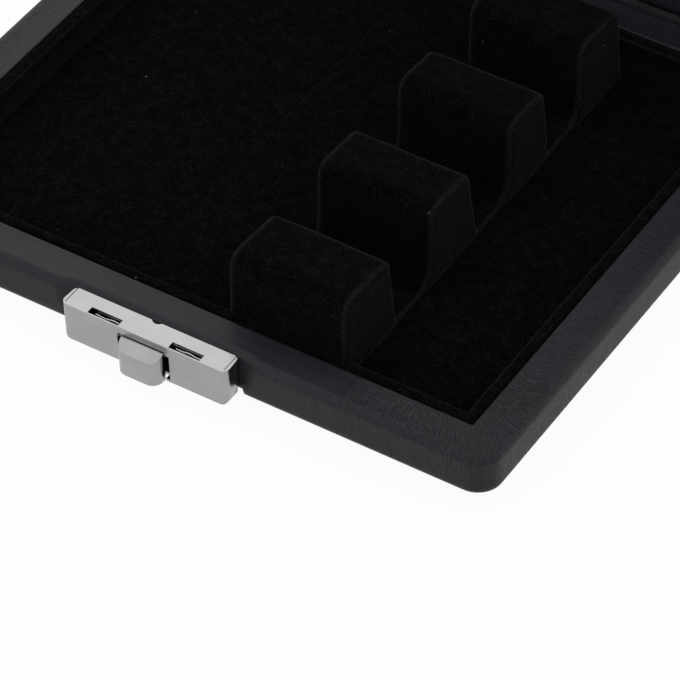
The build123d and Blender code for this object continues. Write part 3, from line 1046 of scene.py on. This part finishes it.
# Bolt. A stamped plate behind the slots that the button pushes back. Its boss reaches forward to the
# button, and under each slot it has a raised, slightly wavy lip, which is what shines in the slots.
boss_half = 5.0 * mm
wing_front = -56.6 * mm
lip_y = -56.4 * mm
lip_z = 6.56 * mm
lip_half_width = 0.2 * mm
lip_half_height = 0.5 * mm
lip_length = 4.6 * mm
lip_wave = 0.07 * mm
lip_shift = 0.2 * mm
lip_droop = 0.18 * mm
lip_bends = 9.0
bolt_edge = 0.06 * mm

bolt_low, bolt_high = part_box("latch_bolt")
bolt = block("latch_bolt_plate", (bolt_low.x, wing_front, bolt_low.z), bolt_high)
for side in (-1, 1):
    bpy.ops.mesh.select_all(action="SELECT")
    bpy.ops.mesh.bisect(plane_co=(latch_x + side * boss_half, 0, 0), plane_no=(1, 0, 0))
pick(bolt, "FACE", lambda middle, normal: normal.y < -0.9 and abs(middle.x - latch_x) < boss_half)
bpy.ops.mesh.extrude_region_move(TRANSFORM_OT_translate={"value": (0, bolt_low.y - wing_front, 0)})
finished(bolt)
for side in (-1, 1):
    raised = only(
        "raised_lip", bpy.ops.mesh.primitive_cylinder_add, vertices=20, radius=1.0, depth=lip_length,
        location=(latch_x + side * slot_offset + lip_shift, 0, 0), rotation=(0, math.pi / 2, 0),
    )
    pick(raised, "EDGE", lambda a, b: abs(a.x - b.x) > lip_length / 2)
    bpy.ops.mesh.subdivide(number_cuts=24)
    edit_left()
    for point in raised.data.vertices:
        along = (point.co.x - latch_x - side * slot_offset) / lip_length
        wave = math.sin(along * lip_bends + side) * lip_wave
        droop = -lip_droop * eased(0.5 - along) * (side < 0)
        point.co.y = lip_y + point.co.y * lip_half_width + wave * 0.5
        point.co.z = lip_z + point.co.z * lip_half_height + wave + droop
    finished(bolt, ("BOOLEAN", {"operation": "UNION", "object": raised, "solver": "MANIFOLD"}))
    bpy.data.objects.remove(raised)
edges_broken(bolt, bolt_edge, 60)
smoothed(40)
steel = plated("plain_steel", (0.55, 0.55, 0.56), 0.22)
fitted(bolt, steel, "latch_slide", ["latch_bolt"])


# Leaf spring. A strip of spring steel, bowed so that its crown presses on the bolt and its two ends bear on
# the back plate.
spring_low, spring_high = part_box("latch_spring")
spring_thickness = 0.12 * mm
spring_cuts = 31

spring_back = spring_high.y - spring_thickness
spring = block("bowed_leaf_spring", (spring_low.x, spring_back, spring_low.z), spring_high)
pick(spring, "EDGE", lambda a, b: abs(a.x - b.x) > 1 * mm)
bpy.ops.mesh.subdivide(number_cuts=spring_cuts)
edit_left()
spring_half = (spring_high.x - spring_low.x) / 2
spring_rise = spring_back - spring_low.y
for point in spring.data.vertices:
    out = (point.co.x - latch_x) / spring_half
    point.co.y -= spring_rise * (1 - out * out)
finished(spring)
smoothed(30)
fitted(spring, steel, "base", ["latch_spring"])
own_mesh(spring)


# Latch works, catch and hinge. Stamped and turned metal pieces: the back plate is blackened steel, and
# the rivets, the catch with its hooks, and the hinge are nickel plated.
dressed(["latch_back_plate"], plated("blackened_steel", (0.05, 0.05, 0.052), 0.5))
dressed(["latch_rivets", "catch_plate", "catch_rivets"], nickel)
dressed(["hinge_leaf_base", "hinge_leaf_lid", "hinge_pin", "hinge_screws_base", "hinge_screws_lid"], nickel)


# Lid leather. The same leather over the deeper lid: its rim, its side and its whole flat top. It is made
# shut, and then swung open on the hinge.
lid_low = 8.15 * mm
lid_high = 22.15 * mm
lid_round = 2.0 * mm
lid_stations = 720


def lid_rows():
    """Across the lid's leather: from inside the lip over the rim and side to the middle of the top."""
    side_low = lid_low + rim_round
    side_high = lid_high - lid_round
    rows = [(1.0, rim_round, lid_low + depth, 0.0) for depth in (lip_depth, lip_middle)]
    rows += [(1.0 - step / 8, rim_round, lid_low, 0.0) for step in range(9)]
    rows += [
        (0.0, rim_round * (1 - sine), lid_low + rim_round * (1 - cosine), 0.0)
        for sine, cosine in quarter_turns(fold_steps, 1)
    ]
    rows += [(0.0, 0.0, side_low + (side_high - side_low) * step / 12, 0.0) for step in range(1, 12)]
    rows += [
        (0.0, lid_round * (1 - cosine), side_high + lid_round * sine, 0.0)
        for sine, cosine in quarter_turns(fold_steps)
    ]
    rows += [(-step / 24, lid_round, lid_high, 0.0) for step in range(1, 25)]
    return rows


def lid_leather_point(edge, way, lip, lip_way, share, inset, height, lip_out):
    """Where one row of the lid's leather lies at one station; below nought it draws in to the middle."""
    drawn = into_recess(edge, way, height) * (1 - max(share, 0.0))
    outside = edge - way * (inset + drawn)
    if share >= 0:
        spot = outside.lerp(lip + lip_way * lip_out, share)
    else:
        spot = outside * (1 + share) ** 1.2
    return Vector((spot.x, spot.y, height))


def lid_leather_free(place):
    """The leather is free to swell on its rim, side and top, and held at the lip."""
    return 1.0 if place.z > lid_high - lid_round else off_lip(place)


lid_leather = wrapped("lid_leather_skin", stations(lid_stations), lid_rows(), lid_leather_point)
softened(lid_leather, lid_leather_free, 11.0)
backed(lid_leather)
pocket_cut(lid_leather, lid_low - 2 * past, lid_low + leaf_thickness + pocket_room)
smoothed(50)
swung_open(lid_leather)
lid_strip_across = 90.0 * mm
lid_hide = leather_material("lid_leather_black", strip_around, lid_strip_across)
fitted(lid_leather, lid_hide, "lid", ["lid_leather"])


# Lid linings. A velvet pad on the lid's ceiling, which holds the reeds down when the case is shut, and
# four velvet strips round it, made shut like the leather and then swung open.
side_x, side_y = inner_half
lining = 2.4 * mm
ceiling = 20.65 * mm
pad_thickness = 0.6 * mm
lid_pad_waves = 0.06 * mm
end_x = side_x - lining
end_y = side_y - lining
lid_cards = {
    "lid_liner_front": ((-side_x, -side_y, lid_low), (side_x, -end_y, ceiling)),
    "lid_liner_rear": ((-side_x, end_y, lid_low), (side_x, side_y, ceiling)),
    "lid_liner_left": ((-side_x, -end_y, lid_low), (-end_x, end_y, ceiling)),
    "lid_liner_right": ((end_x, -end_y, lid_low), (side_x, end_y, ceiling)),
}
for name, (low, high) in lid_cards.items():
    lined(name, low, high, lining_round, lining_waves, "lid", lining_fill)
lined(
    "lid_pad", (-end_x, -end_y, ceiling - pad_thickness), (end_x, end_y, ceiling),
    pad_round, lid_pad_waves, "lid", pad_fill, 5,
)


# Leather spine. A strip glued down the back of the tray and of the lid, which closes the crease behind
# the hinge. It is shaped to go round the barrel with the lid shut, and laid folded in, as the lid stands
# open.
spine_half_x = 48.0 * mm
spine_thickness = 0.4 * mm
spine_low = 5.5 * mm
spine_high = 7.4 * mm
spine_off = 0.05 * mm
bulge = 1.55 * mm
bulge_reach = 2.6 * mm
blend_reach = 2.9 * mm
spine_strip = 30.0 * mm
spine_creased = 0.35
halvings = 40


def lid_turn(point, share):
    """A point (y, z) beside the hinge's axis, turned that share of the way open."""
    sine = math.sin(lid_angle * share)
    cosine = math.cos(lid_angle * share)
    return Vector((point[0] * cosine - point[1] * sine, point[0] * sine + point[1] * cosine))


blend_start = Vector((spine_off, -blend_reach))
blend_end = lid_turn((spine_off, blend_reach), 1.0)


def folded(point):
    """Where a point of the shut strip lies with the lid open, so that closing brings it back exactly."""
    low = 0.0
    high = 1.0
    span = blend_end - blend_start
    for _ in range(halvings):
        share = (low + high) / 2
        along = (lid_turn(point, share) - blend_start).dot(span) / span.length_squared
        if eased(along) > share:
            low = share
        else:
            high = share
    return lid_turn(point, (low + high) / 2)


def shut_line(along):
    """The middle of the shut strip beside the hinge's axis, at a height."""
    if abs(along) >= bulge_reach:
        return Vector((spine_off + spine_thickness / 2, along))
    swell = math.cos(math.pi / 2 * along / bulge_reach) ** 1.4
    return Vector((spine_off + spine_thickness / 2 + bulge * swell, along))


spine_steps = 60
spine_lines = ([], [])
for step in range(spine_steps + 1):
    along = -spine_low + (spine_low + spine_high) * step / spine_steps
    here = shut_line(along)
    tangent = (shut_line(along + near) - shut_line(along - near)).normalized()
    out = Vector((tangent.y, -tangent.x)) * (spine_thickness / 2)
    spine_lines[0].append(folded(here - out))
    spine_lines[1].append(folded(here + out))
spine_profile = spine_lines[0] + spine_lines[1][::-1]
spine = only(
    "leather_spine", bpy.ops.mesh.primitive_grid_add,
    x_subdivisions=128, y_subdivisions=len(spine_profile), size=1.0, calc_uvs=True,
)
edit_left()
for point in spine.data.vertices:
    row = round((point.co.y + 0.5) * len(spine_profile)) % len(spine_profile)
    x = point.co.x * 2 * spine_half_x
    y, z = spine_profile[row]
    point.co = (x, hinge_y + y, hinge_z + z)
joined()
for end in (-spine_half_x, spine_half_x):
    pick(spine, "EDGE", lambda a, b: abs(a.x - end) < touching and abs(b.x - end) < touching)
    bpy.ops.mesh.edge_face_add()
facing_out()
finished(spine)
noted(spine, "creased", [spine_creased] * len(spine.data.vertices))
smoothed(50)
spine_hide = leather_material("spine_leather_black", 2 * spine_half_x, spine_strip)
fitted(spine, spine_hide, None, ["hinge_cover"])
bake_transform(spine)


# Floor, light and camera. A white studio floor under soft even light, seen from the front right corner
# and above through a long lens, as the photograph shows the case.
white_paint = (1.0, 1.0, 1.0, 1.0)
floor_glow = 0.93
floor_reflected = 0.8
room_light = 0.9


def seen_straight(tree):
    """Which rays come from the camera, and which come from it, from a mirror or through glass."""
    rays = tree.nodes.new("ShaderNodeLightPath").outputs
    seen = combined(tree, "MAXIMUM", rays["Is Glossy Ray"], rays["Is Transmission Ray"])
    return rays["Is Camera Ray"], combined(tree, "MAXIMUM", seen, rays["Is Camera Ray"])


def chosen_by(tree, share, first, second, output):
    """Shows the second shader for that share of the rays, and the first for the others."""
    node = tree.nodes.new("ShaderNodeMixShader")
    for place, value in enumerate((share, first, second)):
        tree.links.new(value, node.inputs[place])
    tree.links.new(node.outputs["Shader"], tree.nodes[output].inputs["Surface"])


floor = only(
    "studio_floor", bpy.ops.mesh.primitive_grid_add, x_subdivisions=8, y_subdivisions=8, size=6.0,
)
finished(floor)
white, tree, shader = new_material("studio_white")
set_on(shader, {"Base Color": (0.92, 0.92, 0.92, 1.0), "Roughness": 0.9, "Specular IOR Level": 0.0})
glow = tree.nodes.new("ShaderNodeEmission")
set_on(glow, {"Color": white_paint})
from_camera, seen = seen_straight(tree)
share = combined(tree, "MULTIPLY", seen, floor_glow)
direct = combined(tree, "MULTIPLY", from_camera, 1.0 - floor_reflected)
tree.links.new(combined(tree, "ADD", direct, floor_reflected), glow.inputs["Strength"])
chosen_by(tree, share, shader.outputs["BSDF"], glow.outputs["Emission"], "Material Output")
floor.data.materials.append(white)
floor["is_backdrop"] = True

world = bpy.data.worlds.new("soft_room")
bpy.context.scene.world = world
world.use_nodes = True
tree = world.node_tree
sky = tree.nodes["Background"]
seen_sky = tree.nodes.new("ShaderNodeBackground")
for background, strength in ((sky, room_light), (seen_sky, 1.0)):
    set_on(background, {"Color": white_paint, "Strength": strength})
from_camera, seen = seen_straight(tree)
chosen_by(tree, seen, sky.outputs["Background"], seen_sky.outputs["Background"], "World Output")


def soft_lamp(name, place, size, watts):
    """A square soft box that looks at the case."""
    data = bpy.data.lights.new(name, "AREA")
    data.shape = "SQUARE"
    data.size = size
    data.energy = watts
    lamp = bpy.data.objects.new(name, data)
    bpy.context.scene.collection.objects.link(lamp)
    lamp.location = place
    lamp.rotation_euler = (-Vector(place)).to_track_quat("-Z", "Y").to_euler()


soft_lamp("soft_box_front", (-0.42, -0.84, 0.55), 0.3, 0.3)
soft_lamp("soft_box_rear", (-0.5, 0.8, 0.9), 1.2, 1.6)

azimuth = math.radians(32.0)
elevation = math.radians(43.1)
lens = bpy.data.cameras.new("photo_camera")
lens.sensor_width = 36.0
lens.sensor_fit = "HORIZONTAL"
lens.lens = 229.5
lens.clip_start = 0.01
lens.clip_end = 20.0
camera = bpy.data.objects.new("photo_camera", lens)
bpy.context.scene.collection.objects.link(camera)
camera.location = (0.28624, -0.45712, 0.46575)
toward = Vector((
    -math.sin(azimuth) * math.cos(elevation),
    math.cos(azimuth) * math.cos(elevation),
    -math.sin(elevation),
))
camera.rotation_euler = toward.to_track_quat("-Z", "Y").to_euler()
bpy.context.scene.camera = camera
bpy.context.scene.view_settings.view_transform = "Standard"

low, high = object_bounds()
